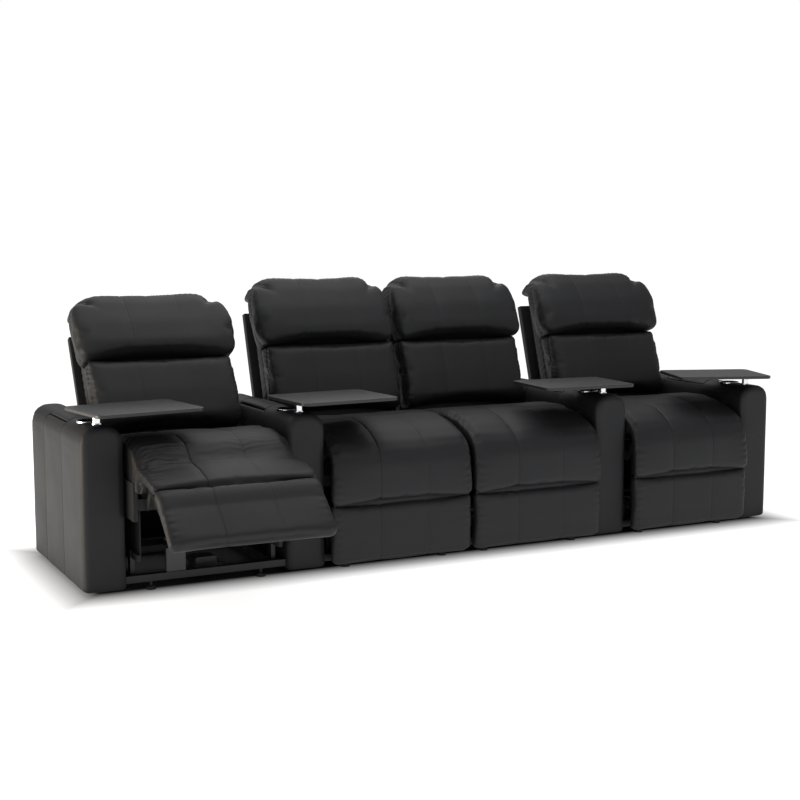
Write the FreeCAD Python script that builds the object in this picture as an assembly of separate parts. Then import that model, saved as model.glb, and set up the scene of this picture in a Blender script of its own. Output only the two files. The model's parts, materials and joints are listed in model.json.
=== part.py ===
import FreeCAD, Part
import math
import os

V = FreeCAD.Vector

# A joined row of four motor-driven recliner seats with cup-holder arms, in millimetres, +Z up.
# X runs along the row and Y from front to back. Each seat and arm is built with its left side at
# X = 0 and the arms' front face at Y = 0, and is then set in its place in the row.
# The first seat stands with its footrest out and its back leaned, the other three are closed.
# The row's origin lies on the floor under the middle of its overall box.

# Row layout, from the left
arm_width = 150.0
bay_width = 600.0
travel_now = [140.0, 0.0, 0.0, 0.0]
lean_now = [10.0, 0.0, 0.0, 0.0]

# Arms
arm_depth = 750.0
arm_top = 590.0
arm_bottom = 12.0
arm_top_radius = 60.0
arm_bottom_radius = 8.0
arm_front_radius = 18.0
lid_front = 282.0
lid_length = 258.0
lid_thickness = 19.0
lid_gap = 1.0
lid_pin_radius = 2.0
lid_pin_inset = 31.0
lid_knuckle_radius = 7.0
lid_pin_seat = 10.0
well_side_wall = 26.0
well_end_wall = 10.0
well_depth = 240.0
well_ledge = 9.0

# Cup holders and tray posts
cup_y = 175.0
cup_radius = 39.0
cup_wall = 1.2
cup_depth = 70.0
cup_rim_radius = 43.0
cup_rim_height = 8.0
cup_rim_proud = 2.0
post_y = 70.0
post_radius = 14.0
post_stem_depth = 30.0
flange_radius = 18.0
flange_height = 4.0
post_pin_radius = 6.0
post_pin_height = 6.0
tray_length = 400.0
tray_width = 320.0
tray_thickness = 12.0
tray_top = 640.0
tray_corner_radius = 30.0
tray_edge_radius = 2.0
tray_post_inset = 60.0
tray_angles = [8.0, 4.0, 176.0, 160.0]

# Recline switches, set in the arm beside each seat
switch_y = 115.0
switch_z = 504.0
switch_length = 38.0
switch_height = 24.0
switch_thickness = 8.0
switch_proud = 1.0
switch_pocket_depth = 12.0
switch_pin_radius = 1.5
switch_pin_reach = 2.0
switch_clearance = 0.5

# Steel base under each seat
tube_size = 25.0
tube_wall = 2.0
base_front = 25.0
base_setback = 150.0
foot_height = 30.0
foot_radius = 18.0
foot_pad_height = 12.0
foot_stem_radius = 6.0
foot_inset = 94.0
rail_inset = 28.0
rail_width = 16.0
rail_bottom = 110.0
rail_height = 30.0
rail_wall = 3.0
rail_front = 60.0
upright_depth = 30.0
upright_setback = 15.0

# Motor, its track and its steel fittings
motor_x = 280.0
motor_y = 100.0
motor_width = 80.0
motor_length = 75.0
motor_bottom = 22.0
motor_height = 56.0
motor_corner_radius = 6.0
track_width = 30.0
track_height = 24.0
motor_plate_thickness = 6.0
clevis_x = 150.0
clevis_width = 70.0
clevis_thickness = 16.0
clevis_height = 85.0
strut_radius = 6.0
strut_run = 110.0

# Seat carriage
runner_inset = 60.0
hanger_thickness = 3.0
side_board_inset = 8.0
board_thickness = 16.0
box_front = 75.0
box_overhang = 40.0
box_bottom = 265.0
box_top = 398.0
deck_thickness = 12.0
deck_side_gap = 10.0
beam_depth = 20.0
beam_height = 40.0
beam_setback = 5.0
pad_inset = 5.0
seat_rear_gap = 20.0
seat_rear_radius = 18.0
seat_crest_y = 200.0
seat_crest_z = 532.0
seat_rear_z = 508.0
seat_lip_thickness = 7.0
seat_crown = 8.0
seat_lip_angle = 85.0

# Front pad, footrest and their links, in the closed pose
front_pivot_y = 10.0
front_pivot_z = 402.0
pad_face_y = -50.0
pad_thickness = 34.0
pad_parting = 19.0
front_pad_bottom = 257.0
front_pad_end_angle = 80.0
footrest_height = 213.0
foot_pivot_y = -4.0
link_pivot_y = 18.0
link_pivot_z = 382.0
link_end_y = 30.0
link_end_z = 110.0
pad_corner_radius = 20.0
pad_back_radius = 4.0
tangent_relief = 1.0
plate_thickness = 4.0
link_layer = 48.0
bracket_layer = 54.0
front_arm_layer = 60.0
pivot_pin_radius = 4.0
eye_radius = 11.0
open_hole_radius = 10.5
flange_thickness = 3.0
flange_reach = 30.0
flange_margin = 10.0

# Travel of the carriage and the turns that go with it
carriage_travel = 170.0
front_pad_turn = 88.64
footrest_turn = 58.77
link_turn = 78.0

# Back, built upright about its recline pin and then leaned
back_pivot_setback = 250.0
back_pivot_z = 420.0
back_lean = 17.5
back_pin_radius = 6.0
back_eye_radius = 16.0
stile_width = 20.0
frame_front = 85.0
frame_depth = 65.0
frame_low = 40.0
frame_high = 600.0
frame_rail_height = 50.0
frame_middle = 320.0
web_thickness = 6.0
bracket_foot_v = 115.0
bracket_foot_u = 80.0
bracket_foot_radius = 22.0
panel_inset = 20.0
panel_low = -150.0
panel_high = 572.0
panel_gap = 42.0
panel_thickness = 25.0
spacer_width = 40.0
spacer_height = 25.0
lumbar_inset = 8.0
lumbar_low = 97.0
lumbar_high = 380.0
lumbar_face = -26.0
lumbar_crown = 2.0
lumbar_crown_radius = 400.0
lumbar_top_setback = 8.0
lumbar_top_radius = 28.0
lumbar_low_setback = 12.0
lumbar_low_radius = 36.0
lumbar_side_radius = 30.0
lumbar_shoulder_radius = 16.0
pillow_parting = 4.0
pillow_high = 706.0
pillow_face = -43.0
pillow_back = 150.0
pillow_overhang = 26.0
pillow_corner_radius = 85.0
pillow_low_radius = 24.0
pillow_crown = 2.0
pillow_crown_radius = 300.0
pillow_low_setback = 14.0
pillow_lip_radius = 22.0
pillow_top_setback = 44.0
pillow_brow_radius = 60.0
pillow_rear_radius = 56.0
pillow_tail_radius = 14.0
seat_parting = 1.5

# Fits
running = 0.05
slip = 0.3

# Sizes that follow from the ones above
arms_before_bay = [1, 2, 2, 3]
bays_before_arm = [0, 1, 3, 4]
base_top = foot_height + tube_size
base_rear = arm_depth - base_setback
rail_rear = base_rear - tube_size
back_pivot_y = arm_depth - back_pivot_setback
box_rear = back_pivot_y + box_overhang
seat_rear = back_pivot_y - seat_rear_gap
runner_front = rail_front + runner_inset
runner_length = box_rear - runner_inset - runner_front
lid_seat = arm_top - lid_thickness
lid_pin_z = lid_seat + lid_knuckle_radius
tray_bottom = tray_top - tray_thickness
side_inner = side_board_inset + board_thickness
hanger_layer = rail_inset + rail_width + slip
deck_bottom = box_top - deck_thickness
beam_bottom = deck_bottom - 2 * beam_height - beam_setback
footrest_top = front_pad_bottom - pad_parting
foot_pivot_z = front_pad_bottom - pad_parting / 2
pad_back_y = pad_face_y + pad_thickness
shell_radius = front_pivot_y - pad_face_y
pillow_low = lumbar_high + pillow_parting
panel_front = frame_front + frame_depth + panel_gap


def rounded_run(corners):
    # Corners are (point, radius). The result is a closed run of straight lines and tangent arcs.
    starts, arcs, ends = [], [], []
    for i, (corner, radius) in enumerate(corners):
        back = (corners[i - 1][0] - corner).normalize()
        ahead = (corners[(i + 1) % len(corners)][0] - corner).normalize()
        half = back.getAngle(ahead) / 2
        reach = radius / math.tan(half)
        inward = (back + ahead).normalize()
        starts.append(corner + back * reach)
        arcs.append(corner + inward * (radius / math.sin(half) - radius))
        ends.append(corner + ahead * reach)
    edges = []
    for i, (corner, radius) in enumerate(corners):
        if radius > 0:
            edges.append(Part.Arc(starts[i], arcs[i], ends[i]).toShape())
        following = starts[(i + 1) % len(corners)]
        edges.append(Part.LineSegment(ends[i], following).toShape())
    return Part.Wire(edges)


def side_prism(x, width, corners):
    # Corners are (y, z, radius), and the prism runs along X.
    wire = rounded_run([(V(x, y, z), radius) for y, z, radius in corners])
    return Part.Face(wire).extrude(V(width, 0, 0))


def front_prism(y, depth, corners):
    # Corners are (x, z, radius), and the prism runs along Y.
    wire = rounded_run([(V(x, y, z), radius) for x, z, radius in corners])
    return Part.Face(wire).extrude(V(0, depth, 0))


def block(x, y, z, width, depth, height):
    return Part.makeBox(width, depth, height, V(x, y, z))


def upright_rod(x, y, z, radius, height):
    return Part.makeCylinder(radius, height, V(x, y, z), V(0, 0, 1))


def cross_rod(x, y, z, radius, width):
    return Part.makeCylinder(radius, width, V(x, y, z), V(1, 0, 0))


def join(shapes):
    return shapes[0].multiFuse(shapes[1:]).removeSplitter()


def both_sides(shape):
    return [shape, shape.mirror(V(bay_width / 2, 0, 0), V(1, 0, 0))]


def strip(x, thickness, near, near_radius, far, far_radius):
    # A flat steel link between two round eyes, which are given as (y, z).
    start, end = V(x, *near), V(x, *far)
    run = (end - start).normalize()
    across = V(0, -run.z, run.y) * (min(near_radius, far_radius) - tangent_relief)
    corners = [start + across, end + across, end - across, start - across]
    web = Part.Face(Part.makePolygon(corners + corners[:1])).extrude(V(thickness, 0, 0))
    return join([web, cross_rod(x, *near, near_radius, thickness), cross_rod(x, *far, far_radius, thickness)])


def turned(shape, pivot_y, pivot_z, degrees):
    # A positive turn carries the top to the rear and the front face upwards.
    moved = shape.copy()
    moved.rotate(V(0, pivot_y, pivot_z), V(-1, 0, 0), degrees)
    return moved


def shifted(shape, x, y):
    moved = shape.copy()
    moved.translate(V(x, y, 0))
    return moved


def bay_left(seat):
    return arms_before_bay[seat] * arm_width + seat * bay_width


def arm_left(index):
    return index * arm_width + bays_before_arm[index] * bay_width


def base_frame():
    pieces = []
    for y in (base_front, base_rear - tube_size):
        tube = block(0, y, foot_height, bay_width, tube_size, tube_size)
        hollow = tube_size - 2 * tube_wall
        pieces.append(tube.cut(block(0, y + tube_wall, foot_height + tube_wall, bay_width, hollow, hollow)))
        foot = join([upright_rod(foot_inset, y + tube_size / 2, 0, foot_radius, foot_pad_height),
                     upright_rod(foot_inset, y + tube_size / 2, 0, foot_stem_radius, foot_height)])
        pieces += both_sides(foot)
    bar_length = base_rear - base_front - 2 * tube_size
    bar = block(rail_inset, base_front + tube_size, foot_height, rail_width, bar_length, tube_size)
    bar_hollow = block(rail_inset + tube_wall, base_front + tube_size, foot_height + tube_wall,
                       rail_width - 2 * tube_wall, bar_length, tube_size - 2 * tube_wall)
    pieces += both_sides(bar.cut(bar_hollow))
    rail_length = rail_rear - rail_front
    rail = block(rail_inset, rail_front, rail_bottom, rail_width, rail_length, rail_height)
    groove = block(rail_inset + rail_wall, rail_front, rail_bottom + rail_wall,
                   rail_width, rail_length, rail_height - 2 * rail_wall)
    pieces += both_sides(rail.cut(groove))
    for y in (rail_front, rail_rear - upright_setback - upright_depth):
        pieces += both_sides(block(rail_inset, y, base_top, rail_width, upright_depth, rail_bottom - base_top))
    return pieces


def drive_unit():
    middle = motor_x + motor_width / 2
    front_face = base_front + tube_size
    rear_face = base_rear - tube_size
    motor = block(motor_x, motor_y, motor_bottom, motor_width, motor_length, motor_height)
    long_edges = [edge for edge in motor.Edges if abs(edge.tangentAt(0).y) > 0.9]
    motor = motor.makeFillet(motor_corner_radius, long_edges)
    track_start = motor_y + motor_length
    track = block(middle - track_width / 2, track_start, foot_height,
                  track_width, rear_face - track_start, track_height)
    plate = block(middle - track_width, front_face, foot_height,
                  2 * track_width, motor_y - front_face, motor_plate_thickness)
    clevis = block(clevis_x, base_front + (tube_size - clevis_thickness) / 2, base_top,
                   clevis_width, clevis_thickness, clevis_height)
    strut_start = V(motor_x + motor_width - motor_corner_radius, motor_y + motor_length / 3,
                    motor_bottom + motor_height * 0.7)
    strut_end = V(motor_x + motor_width + strut_run, front_face - tube_wall, foot_height + tube_size / 2)
    run = strut_end - strut_start
    strut = Part.makeCylinder(strut_radius, run.Length, strut_start, run)
    front_tube = block(0, base_front, foot_height, bay_width, tube_size, tube_size)
    return [motor, track, plate, clevis, strut.cut(motor).cut(front_tube)]


def seat_box():
    inner_span = bay_width - 2 * side_inner
    box_length = box_rear - box_front
    pieces = both_sides(block(side_board_inset, box_front, box_bottom,
                              board_thickness, box_length, box_top - box_bottom))
    beam_front = box_front + beam_setback
    for y in (beam_front, box_rear - beam_depth):
        pieces.append(block(side_inner, y, beam_bottom, inner_span, beam_depth, beam_height))
    pieces.append(block(side_inner + deck_side_gap, box_front, deck_bottom,
                        inner_span - 2 * deck_side_gap, box_length, deck_thickness))
    # Ears with the recline pins
    ear = side_prism(side_inner, plate_thickness, [
        (back_pivot_y - back_eye_radius, deck_bottom - deck_thickness, 0),
        (back_pivot_y - back_eye_radius, back_pivot_z + back_eye_radius, back_eye_radius - tangent_relief),
        (back_pivot_y + back_eye_radius, back_pivot_z + back_eye_radius, back_eye_radius - tangent_relief),
        (back_pivot_y + back_eye_radius, deck_bottom - deck_thickness, 0)])
    pin_length = 3 * plate_thickness + 2 * slip
    pieces += both_sides(join([ear, cross_rod(side_inner, back_pivot_y, back_pivot_z, back_pin_radius, pin_length)]))
    # Front brackets with the pins of the front pad and of the footrest link
    bracket_root = (beam_front - eye_radius - tangent_relief, beam_bottom + beam_height / 2)
    bracket = strip(bracket_layer, plate_thickness, (front_pivot_y, front_pivot_z), eye_radius + 1,
                    bracket_root, eye_radius + 1)
    root = block(bracket_layer, bracket_root[0], beam_bottom, plate_thickness, eye_radius + 1, beam_height)
    arm_pin = cross_rod(bracket_layer, front_pivot_y, front_pivot_z, pivot_pin_radius,
                        front_arm_layer + plate_thickness - bracket_layer + running)
    link_pin = cross_rod(link_layer, link_pivot_y, link_pivot_z, pivot_pin_radius,
                         bracket_layer + plate_thickness - link_layer)
    pieces += both_sides(join([bracket, root, arm_pin, link_pin]))
    # Hangers that carry the box on its runners
    web_front = beam_front + beam_depth
    web = block(hanger_layer, web_front, beam_bottom, hanger_thickness,
                box_rear - beam_depth - web_front, deck_bottom - beam_bottom)
    runner_bottom = rail_bottom + rail_wall + slip
    leg = block(hanger_layer, runner_front + flange_margin, runner_bottom, hanger_thickness,
                runner_length - 2 * flange_margin, deck_bottom - runner_bottom)
    runner = block(rail_inset + rail_wall + slip, runner_front, runner_bottom,
                   rail_width - rail_wall, runner_length, rail_height - 2 * rail_wall - 2 * slip)
    pieces += both_sides(join([web, leg, runner]))
    return pieces


def seat_cushion():
    pivot = V(pad_inset, front_pivot_y, front_pivot_z)
    hollow = shell_radius + 2 * slip + 1
    lip_angle = math.radians(seat_lip_angle)
    lip = pivot + V(0, math.cos(lip_angle), math.sin(lip_angle)) * hollow
    halfway = pivot + V(0, math.cos(lip_angle / 2), math.sin(lip_angle / 2)) * hollow
    heel = pivot + V(0, hollow, 0)
    lip_top = lip + V(0, 0, seat_lip_thickness)
    crest = V(pad_inset, seat_crest_y, seat_crest_z)
    slope = (lip_top + crest) / 2 + V(0, -seat_crown / 2, seat_crown)
    rear_top = V(pad_inset, seat_rear, seat_rear_z)
    crown = (crest + rear_top) / 2 + V(0, 0, seat_crown)
    front_foot = V(pad_inset, heel.y, box_top + slip)
    rear_foot = V(pad_inset, seat_rear, box_top + slip)
    edges = [Part.Arc(lip, halfway, heel).toShape()]
    edges.append(Part.LineSegment(heel, front_foot).toShape())
    edges.append(Part.LineSegment(front_foot, rear_foot).toShape())
    edges.append(Part.LineSegment(rear_foot, rear_top).toShape())
    edges.append(Part.Arc(rear_top, crown, crest).toShape())
    edges.append(Part.Arc(crest, slope, lip_top).toShape())
    edges.append(Part.LineSegment(lip_top, lip).toShape())
    cushion = Part.Face(Part.Wire(edges)).extrude(V(bay_width - 2 * pad_inset, 0, 0))
    rear_edges = [edge for edge in cushion.Edges
                  if edge.BoundBox.YMin > seat_rear - 1 and edge.BoundBox.ZMin > seat_rear_z - 1]
    return cushion.makeFillet(seat_rear_radius, rear_edges)


def front_pad():
    # The top of the pad is a round shell about its pivot, so the seam with the seat stays closed.
    def on_shell(radius, degrees):
        angle = math.radians(degrees)
        return V(pad_inset, front_pivot_y + radius * math.cos(angle), front_pivot_z + radius * math.sin(angle))

    inner_radius = shell_radius - pad_thickness
    middle_angle = (front_pad_end_angle + 180) / 2
    low_front = V(pad_inset, pad_face_y, front_pad_bottom)
    low_back = V(pad_inset, pad_back_y, front_pad_bottom)
    up = V(0, 0, pad_corner_radius)
    back = V(0, pad_corner_radius, 0)
    turn = (1 - math.sqrt(0.5)) * pad_corner_radius
    edges = [Part.Arc(on_shell(shell_radius, front_pad_end_angle), on_shell(shell_radius, middle_angle),
                      on_shell(shell_radius, 180)).toShape()]
    edges.append(Part.LineSegment(on_shell(shell_radius, 180), low_front + up).toShape())
    edges.append(Part.Arc(low_front + up, low_front + V(0, turn, turn), low_front + back).toShape())
    edges.append(Part.LineSegment(low_front + back, low_back).toShape())
    edges.append(Part.LineSegment(low_back, on_shell(inner_radius, 180)).toShape())
    edges.append(Part.Arc(on_shell(inner_radius, 180), on_shell(inner_radius, middle_angle),
                          on_shell(inner_radius, front_pad_end_angle)).toShape())
    edges.append(Part.LineSegment(on_shell(inner_radius, front_pad_end_angle),
                                  on_shell(shell_radius, front_pad_end_angle)).toShape())
    return Part.Face(Part.Wire(edges)).extrude(V(bay_width - 2 * pad_inset, 0, 0))


def front_pad_arm():
    pivot = (front_pivot_y, front_pivot_z)
    plate = strip(front_arm_layer, plate_thickness, pivot, eye_radius, (foot_pivot_y, foot_pivot_z), eye_radius)
    low = front_pad_bottom + flange_margin
    height = front_pivot_z - flange_margin - low
    web = block(front_arm_layer, pad_back_y, low, plate_thickness, foot_pivot_y - pad_back_y, height)
    flange = block(front_arm_layer, pad_back_y, low, flange_reach, flange_thickness, height)
    arm = join([plate, web, flange])
    for y, z in (pivot, (foot_pivot_y, foot_pivot_z)):
        arm = arm.cut(cross_rod(front_arm_layer, y, z, pivot_pin_radius + running, plate_thickness))
    return arm


def footrest():
    bottom = footrest_top - footrest_height
    pad = side_prism(pad_inset, bay_width - 2 * pad_inset, [
        (pad_face_y, bottom, pad_corner_radius), (pad_back_y, bottom, pad_back_radius),
        (pad_back_y, footrest_top, pad_back_radius), (pad_face_y, footrest_top, pad_corner_radius)])
    plate = strip(bracket_layer, plate_thickness, (foot_pivot_y, foot_pivot_z), eye_radius,
                  (link_end_y, link_end_z), eye_radius)
    low = link_end_z + flange_margin
    height = footrest_top - 2 * flange_margin - low
    web = block(bracket_layer, pad_back_y, low, plate_thickness, link_pivot_y - pad_back_y, height)
    flange = block(bracket_layer, pad_back_y, low, flange_reach, flange_thickness, height)
    knee_pin = cross_rod(bracket_layer, foot_pivot_y, foot_pivot_z, pivot_pin_radius,
                         front_arm_layer + plate_thickness - bracket_layer + running)
    link_pin = cross_rod(link_layer, link_end_y, link_end_z, pivot_pin_radius,
                         bracket_layer + plate_thickness - link_layer)
    return [pad] + both_sides(join([plate, web, flange, knee_pin, link_pin]))


def footrest_link():
    # The hole at the footrest end is wide, because the real pin's path is not quite a circle here.
    pivot, end = (link_pivot_y, link_pivot_z), (link_end_y, link_end_z)
    link = strip(link_layer, plate_thickness, pivot, eye_radius, end, open_hole_radius + eye_radius / 2)
    link = link.cut(cross_rod(link_layer, *pivot, pivot_pin_radius + running, plate_thickness))
    return link.cut(cross_rod(link_layer, *end, open_hole_radius, plate_thickness))


def back_frame():
    stile_x = side_inner + 2 * plate_thickness + 2 * slip
    inner_x = stile_x + stile_width
    inner_span = bay_width - 2 * inner_x
    frame_height = frame_high - frame_low
    pieces = both_sides(block(stile_x, frame_front, frame_low, stile_width, frame_depth, frame_height))
    pieces.append(block(inner_x, frame_front, frame_low, inner_span, web_thickness, frame_height))
    for low in (frame_low, frame_middle, frame_high - frame_rail_height):
        pieces.append(block(inner_x, frame_front + web_thickness, low,
                            inner_span, frame_depth - web_thickness, frame_rail_height))
        spacer = block(inner_x + spacer_width, frame_front + frame_depth, low + web_thickness / 2,
                       spacer_width, panel_gap, min(spacer_height, panel_high - low - web_thickness))
        pieces += both_sides(spacer)
    bracket_x = stile_x - plate_thickness
    bracket = strip(bracket_x, plate_thickness, (0, 0), back_eye_radius,
                    (bracket_foot_v, bracket_foot_u), bracket_foot_radius)
    pieces += both_sides(bracket.cut(cross_rod(bracket_x, 0, 0, back_pin_radius + running, plate_thickness)))
    return pieces


def back_panel():
    panel = block(panel_inset, panel_front, panel_low, bay_width - 2 * panel_inset,
                  panel_thickness, panel_high - panel_low)
    outer_edges = [edge for edge in panel.Edges if edge.BoundBox.YMin > panel_front + panel_thickness - 1]
    return panel.makeFillet(panel_thickness / 3, outer_edges)


def lumbar_pad():
    middle = (lumbar_low + lumbar_high) / 2
    side = side_prism(0, bay_width, [
        (frame_front, lumbar_low, pad_back_radius), (frame_front, lumbar_high, pad_back_radius),
        (lumbar_face + lumbar_top_setback, lumbar_high, lumbar_top_radius),
        (lumbar_face - lumbar_crown, middle, lumbar_crown_radius),
        (lumbar_face + lumbar_low_setback, lumbar_low, lumbar_low_radius)])
    left, right = lumbar_inset, bay_width - lumbar_inset
    front = front_prism(2 * lumbar_face, frame_front - 2 * lumbar_face, [
        (left, lumbar_low, lumbar_side_radius), (right, lumbar_low, lumbar_side_radius),
        (right, lumbar_high, lumbar_shoulder_radius), (left, lumbar_high, lumbar_shoulder_radius)])
    return side.common(front)


def head_pillow(left, right):
    middle = (pillow_low + pillow_high) / 2
    rest = frame_high + slip
    side = side_prism(left, right - left, [
        (frame_front, pillow_low, pad_back_radius),
        (pillow_face + pillow_low_setback, pillow_low, pillow_lip_radius),
        (pillow_face - pillow_crown, middle, pillow_crown_radius),
        (pillow_face + pillow_top_setback, pillow_high, pillow_brow_radius),
        (pillow_back, pillow_high, pillow_rear_radius), (pillow_back, rest, pillow_tail_radius),
        (frame_front, rest, 0)])
    front = front_prism(2 * pillow_face, pillow_back - 2 * pillow_face, [
        (left, pillow_low, pillow_low_radius), (right, pillow_low, pillow_low_radius),
        (right, pillow_high, pillow_corner_radius), (left, pillow_high, pillow_corner_radius)])
    return side.common(front)


def arm_profile(y, depth):
    return front_prism(y, depth, [
        (0, arm_bottom, arm_bottom_radius), (arm_width, arm_bottom, arm_bottom_radius),
        (arm_width, arm_top, arm_top_radius), (0, arm_top, arm_top_radius)])


def arm():
    middle = arm_width / 2
    body = arm_profile(0, arm_depth)
    front_edges = [edge for edge in body.Edges if edge.BoundBox.YMax < 1]
    body = body.makeFillet(arm_front_radius, front_edges)
    well_left = lid_pin_inset + well_ledge
    cup_top = arm_top + cup_rim_proud - cup_rim_height
    post_hole = post_radius + running
    pocket_length = switch_length + 4 * switch_clearance
    pocket_height = switch_height + 2 * switch_clearance
    pin_height = pocket_height + 2 * switch_pin_reach
    cuts = [
        block(0, lid_front, lid_seat, arm_width, lid_length, lid_thickness),
        block(well_left, lid_front + well_end_wall, lid_seat - well_depth,
              arm_width - well_side_wall - well_left, lid_length - 2 * well_end_wall, well_depth),
        Part.makeCylinder(lid_pin_radius + running, lid_length + 2 * lid_pin_seat,
                          V(lid_pin_inset, lid_front - lid_pin_seat, lid_pin_z), V(0, 1, 0)),
        upright_rod(middle, cup_y, cup_top - cup_depth, cup_radius + slip, cup_depth),
        upright_rod(middle, cup_y, cup_top, cup_rim_radius + slip, cup_rim_height),
        upright_rod(middle, post_y, arm_top - post_stem_depth, post_hole, post_stem_depth),
        block(arm_width - switch_pocket_depth, switch_y - pocket_length / 2, switch_z - pocket_height / 2,
              switch_pocket_depth, pocket_length, pocket_height),
        upright_rod(arm_width + switch_proud - switch_thickness / 2, switch_y, switch_z - pin_height / 2,
                    switch_pin_radius + running, pin_height)]
    for cut in cuts:
        body = body.cut(cut)
    return body


def arm_lid():
    front, length = lid_front + lid_gap, lid_length - 2 * lid_gap
    slab = arm_profile(front, length).common(
        block(lid_pin_inset, front, lid_seat + slip, arm_width, length, lid_thickness))
    edge = arm_profile(front, length).common(
        block(0, front, lid_pin_z, lid_pin_inset, length, lid_thickness))
    knuckle = Part.makeCylinder(lid_knuckle_radius - slip, length, V(lid_pin_inset, front, lid_pin_z), V(0, 1, 0))
    lid = join([slab, edge, knuckle.common(arm_profile(front, length))])
    return lid.cut(Part.makeCylinder(lid_pin_radius + running, length,
                                     V(lid_pin_inset, front, lid_pin_z), V(0, 1, 0)))


def cup_holder():
    middle = arm_width / 2
    rim_bottom = arm_top + cup_rim_proud - cup_rim_height
    sleeve = upright_rod(middle, cup_y, rim_bottom - cup_depth + slip, cup_radius, cup_depth - slip)
    rim = upright_rod(middle, cup_y, rim_bottom, cup_rim_radius, cup_rim_height)
    rim = rim.makeFillet(cup_rim_proud, [edge for edge in rim.Edges if edge.BoundBox.ZMin > rim_bottom + 1])
    inside = upright_rod(middle, cup_y, rim_bottom - cup_depth + slip + cup_wall,
                         cup_radius - cup_wall, cup_depth + cup_rim_height)
    return join([sleeve, rim]).cut(inside)


def tray_post():
    middle = arm_width / 2
    shoulder = tray_bottom - slip
    return join([
        upright_rod(middle, post_y, arm_top - post_stem_depth, post_radius, shoulder - arm_top + post_stem_depth),
        upright_rod(middle, post_y, arm_top, flange_radius, flange_height),
        upright_rod(middle, post_y, shoulder, post_pin_radius, post_pin_height)])


def lid_pin():
    return Part.makeCylinder(lid_pin_radius, lid_length + 2 * lid_pin_seat - 2 * slip,
                             V(lid_pin_inset, lid_front - lid_pin_seat + slip, lid_pin_z), V(0, 1, 0))


def tray_board():
    # The board points along +X from its post and is turned to its place later.
    middle = arm_width / 2
    near, far = middle - tray_post_inset, middle - tray_post_inset + tray_length
    low, high = post_y - tray_width / 2, post_y + tray_width / 2
    wire = rounded_run([(V(x, y, tray_bottom), tray_corner_radius)
                        for x, y in ((near, low), (far, low), (far, high), (near, high))])
    board = Part.Face(wire).extrude(V(0, 0, tray_thickness))
    rim_edges = [edge for edge in board.Edges if edge.BoundBox.ZLength < 1]
    board = board.makeFillet(tray_edge_radius, rim_edges)
    return board.cut(upright_rod(middle, post_y, tray_bottom, post_pin_radius + running,
                                 post_pin_height + slip))


def recline_switch():
    face = arm_width + switch_proud
    rocker = block(face - switch_thickness, switch_y - switch_length / 2, switch_z - switch_height / 2,
                   switch_thickness, switch_length, switch_height)
    end_edges = [edge for edge in rocker.Edges
                 if edge.BoundBox.XMin > face - 1 and edge.BoundBox.ZLength > 1]
    rocker = rocker.makeFillet(switch_thickness / 4, end_edges)
    pin_height = switch_height + 2 * switch_clearance + 2 * switch_pin_reach - 2 * slip
    return join([rocker, upright_rod(face - switch_thickness / 2, switch_y, switch_z - pin_height / 2,
                                     switch_pin_radius, pin_height)])


def group(shapes):
    return Part.makeCompound(shapes) if len(shapes) > 1 else shapes[0]


def seat_nodes(seat):
    left = bay_left(seat)
    forward = -travel_now[seat]
    share = travel_now[seat] / carriage_travel
    knee_y, knee_z = foot_pivot_y, foot_pivot_z
    front_angle = front_pad_turn * share
    foot_angle = (footrest_turn - front_pad_turn) * share

    def place(shapes, *turns):
        shapes = shapes if isinstance(shapes, list) else [shapes]
        for pivot_y, pivot_z, degrees in turns:
            shapes = [turned(shape, pivot_y, pivot_z, degrees) for shape in shapes]
        return group([shifted(shape, left, forward) for shape in shapes])

    def place_back(shapes):
        shapes = shapes if isinstance(shapes, list) else [shapes]
        for shape in shapes:
            shape.translate(V(0, back_pivot_y, back_pivot_z))
        return place(shapes, (back_pivot_y, back_pivot_z, back_lean + lean_now[seat]))

    front_turn = (front_pivot_y, front_pivot_z, front_angle)
    parting_left = seat_parting if seat == 2 else -pillow_overhang
    parting_right = bay_width - seat_parting if seat == 1 else bay_width + pillow_overhang
    number = str(seat + 1)
    return {
        "seat_box_" + number: place(seat_box()),
        "seat_cushion_" + number: place(seat_cushion()),
        "front_pad_" + number: place(front_pad(), front_turn),
        "front_pad_arms_" + number: place(both_sides(front_pad_arm()), front_turn),
        "footrest_" + number: place(footrest(), (knee_y, knee_z, foot_angle), front_turn),
        "footrest_links_" + number: place(both_sides(footrest_link()),
                                          (link_pivot_y, link_pivot_z, link_turn * share)),
        "back_frame_" + number: place_back(back_frame()),
        "back_panel_" + number: place_back(back_panel()),
        "lumbar_pad_" + number: place_back(lumbar_pad()),
        "head_pillow_" + number: place_back(head_pillow(parting_left, parting_right))}


def in_row(shape, arm_index):
    # The last two arms are mirror images of the first two, and their switches face the other way.
    mirrored = shape.mirror(V(arm_width / 2, 0, 0), V(1, 0, 0)) if arm_index > 1 else shape
    return shifted(mirrored, arm_left(arm_index), 0)


def arm_nodes(arm_index):
    letter = "abcd"[arm_index]
    tray = tray_board()
    tray.rotate(V(arm_width / 2, post_y, 0), V(0, 0, 1), tray_angles[arm_index])
    return {
        "arm_" + letter: in_row(arm(), arm_index),
        "arm_lid_" + letter: in_row(arm_lid(), arm_index),
        "tray_" + letter: shifted(tray, arm_left(arm_index), 0),
        "recline_switch_" + letter: in_row(recline_switch(), arm_index)}


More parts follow.
